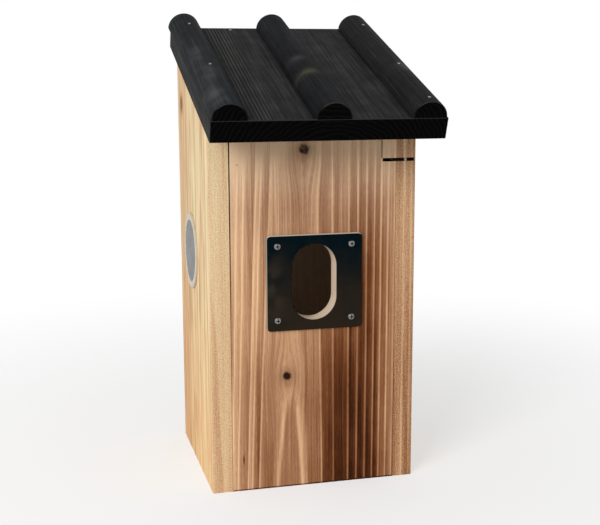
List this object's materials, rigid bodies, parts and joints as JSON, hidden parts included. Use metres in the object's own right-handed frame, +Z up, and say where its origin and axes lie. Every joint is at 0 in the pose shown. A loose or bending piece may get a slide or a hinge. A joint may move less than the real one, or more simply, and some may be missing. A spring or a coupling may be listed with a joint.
{
  "type": "nest box",
  "caption": "Upright wooden nest box with a sloping battened roof, an oval entrance in a steel plate and a round window in each side.",
  "frame": {"origin": "middle of the underside of the box body, on the surface that it stands on", "axes": "+Z up, -Y out of the front with the entrance, +X to the right seen from the front"},
  "size_m": [0.1623, 0.1878, 0.3423],
  "materials": {
    "wall_wood": "softwood boards with a strong brown grain, unpainted",
    "roof_wood": "softwood stained black, with its grain showing",
    "plate_steel": "dark smooth steel plate",
    "screw_steel": "bright plated steel",
    "nail_steel": "dull steel nail heads",
    "window_pane": "cloudy clear acrylic"
  },
  "bodies": {
    "root": {"back_wall": "wall_wood", "corner_block": "wall_wood", "entrance_plate": "plate_steel", "floor_board": "wall_wood", "front_wall": "wall_wood", "left_batten": "roof_wood", "left_batten_nail_back": "nail_steel", "left_batten_nail_middle": "nail_steel", "left_wall": "wall_wood", "left_window_pane": "window_pane", "middle_batten": "roof_wood", "plate_screw_bottom_left": "screw_steel", "plate_screw_bottom_right": "screw_steel", "plate_screw_top_left": "screw_steel", "plate_screw_top_right": "screw_steel", "right_batten": "roof_wood", "right_batten_nail_back": "nail_steel", "right_batten_nail_front": "nail_steel", "right_batten_nail_middle": "nail_steel", "right_wall": "wall_wood", "right_window_pane": "window_pane", "roof_board": "roof_wood", "roof_nail": "nail_steel", "slot_pin": "screw_steel"}
  },
  "joints": []
}
